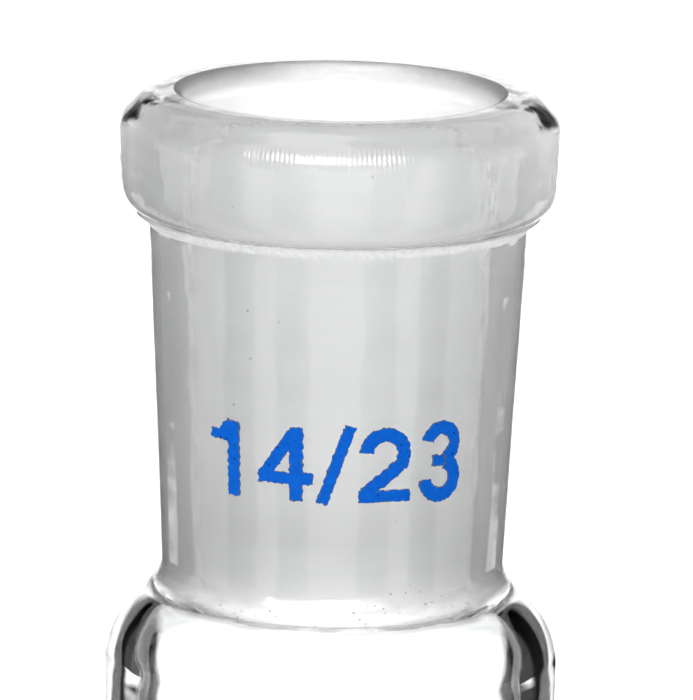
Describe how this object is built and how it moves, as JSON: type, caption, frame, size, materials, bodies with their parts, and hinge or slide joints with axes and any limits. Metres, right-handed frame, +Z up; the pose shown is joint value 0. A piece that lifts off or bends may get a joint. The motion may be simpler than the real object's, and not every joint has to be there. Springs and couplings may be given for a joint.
{
  "type": "soxhlet extractor",
  "caption": "Small glass Soxhlet extractor in its flat-bottomed boiling flask, with siphon, vapour tube, loose paper thimble and an open ground socket on top.",
  "frame": {"origin": "centre of the flask's flat base, on the common axis of flask, stem, chamber and sockets", "axes": "+Z up along that axis; -X towards the vapour tube, +X towards the siphon; -Y is the front, where the joint size is printed"},
  "size_m": [0.051, 0.051, 0.212],
  "materials": {
    "clear_glass": "clear, fire-polished borosilicate",
    "ground_glass": "clear outside, fine-ground on the joint's surface",
    "ptfe": "thin translucent white film",
    "thimble_paper": "pressed cotton cellulose, matte",
    "blue_enamel": "fired blue marking enamel, slightly rough"
  },
  "bodies": {
    "flask": {"flask_bulb": "clear_glass", "flask_neck": "clear_glass", "flask_socket": "ground_glass"},
    "sleeve": {"joint_sleeve": "ptfe"},
    "extractor": {"ground_cone": "ground_glass", "drip_tip": "clear_glass", "stem": "clear_glass", "chamber_base": "clear_glass", "chamber_tube": "clear_glass", "shoulder": "clear_glass", "top_socket": "ground_glass", "vapour_inlet": "clear_glass", "vapour_riser": "clear_glass", "vapour_outlet": "clear_glass", "siphon_riser": "clear_glass", "siphon_crown": "clear_glass", "siphon_return": "clear_glass", "siphon_outlet": "clear_glass", "chamber_brace": "clear_glass", "leg_brace": "clear_glass"},
    "thimble": {"thimble": "thimble_paper"}
  },
  "joints": [
    {"name": "joint_turn", "type": "hinge", "parent": "flask", "child": "sleeve", "pos_m": [0, 0, 0.08], "axis": [0, 0, 1], "continuous": true},
    {"name": "extractor_lift", "type": "slide", "parent": "sleeve", "child": "extractor", "axis": [0, 0, 1], "range_m": [0, 0.045]},
    {"name": "thimble_lift", "type": "slide", "parent": "extractor", "child": "thimble", "axis": [0, 0, 1], "range_m": [0, 0.1]}
  ]
}
